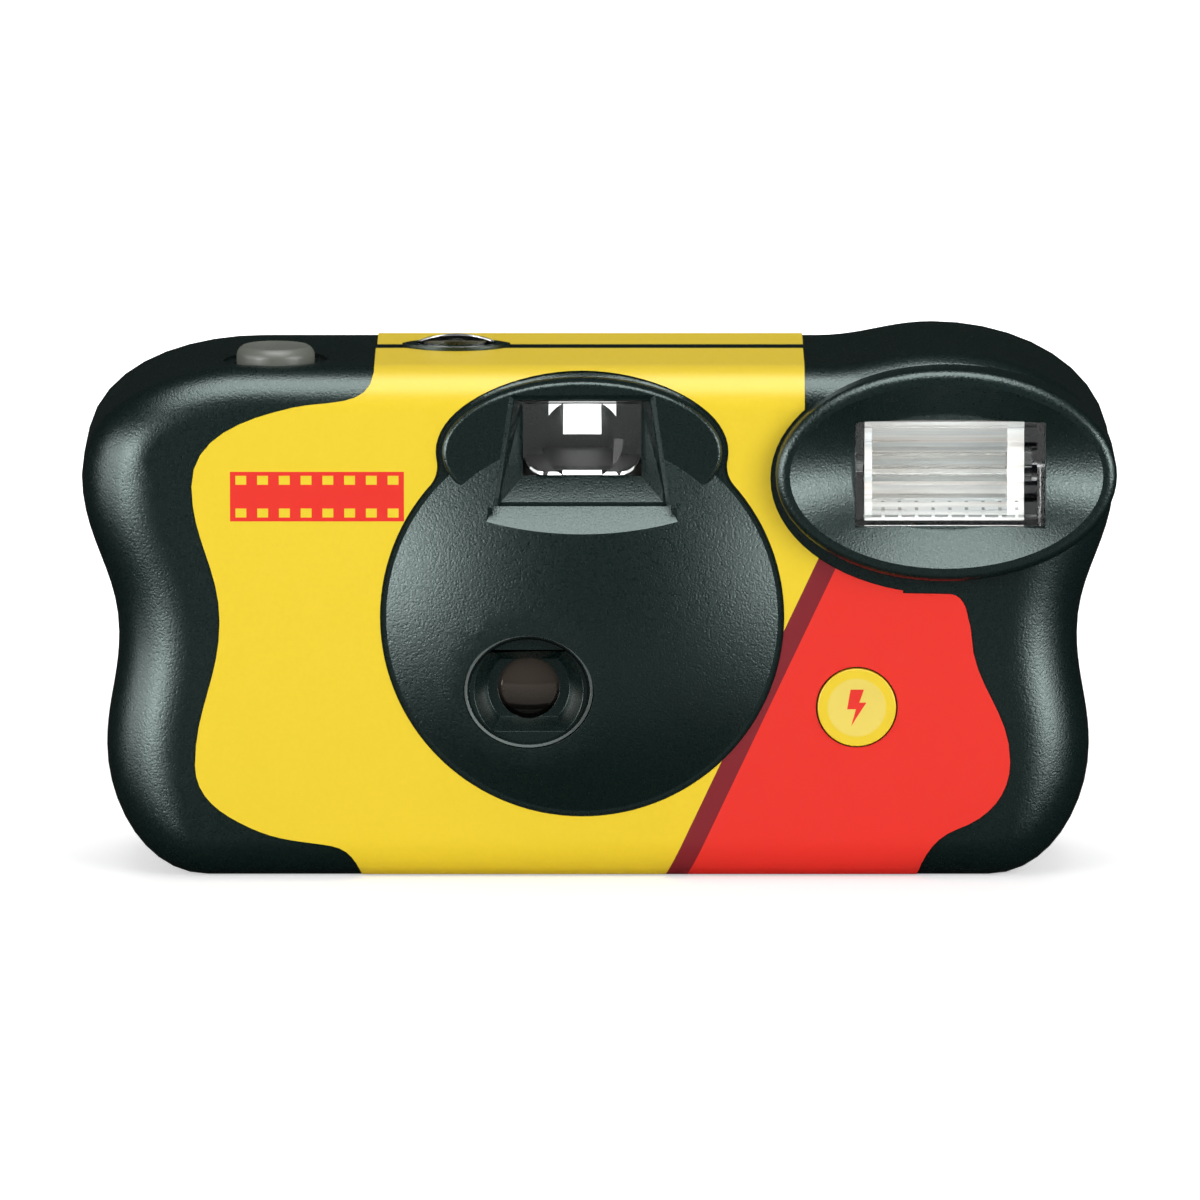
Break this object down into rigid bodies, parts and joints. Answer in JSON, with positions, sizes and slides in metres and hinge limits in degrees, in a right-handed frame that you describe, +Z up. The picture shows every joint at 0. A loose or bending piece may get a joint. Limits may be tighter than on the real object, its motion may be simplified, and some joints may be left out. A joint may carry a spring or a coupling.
{
  "type": "disposable film camera",
  "caption": "Single-use film camera with a wavy black case, domed lens housing, viewfinder, oval flash, thumb wheel wind and sprung shutter and flash buttons.",
  "frame": {"origin": "on the base plane under the middle of the body's width and depth", "axes": "+Z up, +X to the flash side, the lens looks along -Y"},
  "size_m": [0.124, 0.0412, 0.0634],
  "materials": {
    "shell": "fine grained black plastic",
    "label": "yellow and red printed film",
    "clear": "clear moulded plastic",
    "frame": "black moulded plastic",
    "hood": "satin black plastic",
    "lever": "dark moulded plastic",
    "blade": "blackened sheet steel",
    "spring": "drawn wire",
    "frosted": "frosted pale grey plastic",
    "can": "painted tinplate",
    "tin": "bright tinplate",
    "white": "natural moulded plastic",
    "film": "film base",
    "reflector": "bright reflector sheet",
    "tube": "clear glass",
    "board": "circuit board",
    "parts": "small electrical parts",
    "winding": "lacquered copper wire",
    "sleeve": "shrink sleeve",
    "cell": "printed steel case",
    "brass": "stamped strip",
    "key": "yellow moulded button",
    "lamp": "neon lamp glass",
    "pipe": "orange light pipe"
  },
  "bodies": {
    "camera": {"front_cover": "shell", "rear_cover": "shell", "front_label": "label", "rear_label": "label", "counter_window": "clear", "finder_front_lens": "clear", "finder_eyepiece": "clear", "main_frame": "frame", "lens_hood": "hood", "taking_lens": "clear", "shutter_spring": "spring", "striker_spring": "spring", "metering_spring": "spring", "cassette_shell": "can", "cassette_caps": "tin", "film_strip": "film", "ratchet_pawl": "lever", "flash_window": "clear", "flash_reflector": "reflector", "flash_tube": "tube", "tube_electrodes": "spring", "circuit_board": "board", "board_components": "parts", "transformer": "winding", "trigger_coil": "winding", "capacitor": "sleeve", "battery": "cell", "battery_contact_top": "brass", "battery_contact_base": "brass", "flash_switch_leaf": "brass", "sync_contact": "brass", "ready_lamp": "lamp", "ready_light_pipe": "pipe"},
    "film_wind": {"thumb_wheel": "shell", "cassette_spool": "white", "exposed_film": "film"},
    "sprocket": {"film_sprocket": "white"},
    "counter": {"counter_wheel": "white"},
    "supply": {"supply_spool": "lever", "supply_film": "film"},
    "release": {"shutter_button": "frosted"},
    "flash_key": {"flash_button": "key"},
    "shutter": {"shutter_blade": "blade"},
    "striker": {"striker_lever": "lever"},
    "metering": {"metering_lever": "lever"}
  },
  "joints": [
    {"name": "film_advance", "type": "hinge", "parent": "camera", "child": "film_wind", "pos_m": [-0.0387, 0.0029, 0.0496], "axis": [0, 0, 1], "continuous": true},
    {"name": "sprocket_turn", "type": "hinge", "parent": "camera", "child": "sprocket", "pos_m": [-0.0208, 0.00715, 0.0466], "axis": [0, 0, 1], "continuous": true},
    {"name": "counter_turn", "type": "hinge", "parent": "camera", "child": "counter", "pos_m": [-0.0171, -0.0037, 0.057], "axis": [0, 0, 1], "continuous": true},
    {"name": "supply_turn", "type": "hinge", "parent": "camera", "child": "supply", "pos_m": [0.0228, 0.0041, 0.0466], "axis": [0, 0, 1], "continuous": true},
    {"name": "shutter_press", "type": "slide", "parent": "camera", "child": "release", "axis": [0, 0, -1], "range_m": [0, 0.0012], "stiffness_N_per_m": 600, "springref_m": -0.0008},
    {"name": "flash_press", "type": "slide", "parent": "camera", "child": "flash_key", "axis": [0, 1, 0], "range_m": [0, 0.0008], "stiffness_N_per_m": 600, "springref_m": -0.0006},
    {"name": "shutter_swing", "type": "hinge", "parent": "camera", "child": "shutter", "pos_m": [-0.0151, -0.0137, 0.0334], "axis": [0, 1, 0], "range_deg": [0, 38], "stiffness_Nm_per_rad": 0.0006, "springref_deg": -17.19},
    {"name": "striker_swing", "type": "hinge", "parent": "camera", "child": "striker", "pos_m": [-0.0173, -0.0082, 0.0486], "axis": [0, 0, 1], "range_deg": [0, 25]},
    {"name": "metering_swing", "type": "hinge", "parent": "camera", "child": "metering", "pos_m": [-0.0215, -0.0065, 0.0534], "axis": [0, 0, 1], "range_deg": [0, 10], "stiffness_Nm_per_rad": 0.0008, "springref_deg": -11.46}
  ],
  "couplings": [
    {"joint": "sprocket_turn", "follows": "film_advance", "ratio": 1.42},
    {"joint": "counter_turn", "follows": "film_advance", "ratio": -0.0473},
    {"joint": "supply_turn", "follows": "film_advance", "ratio": 0.966}
  ]
}
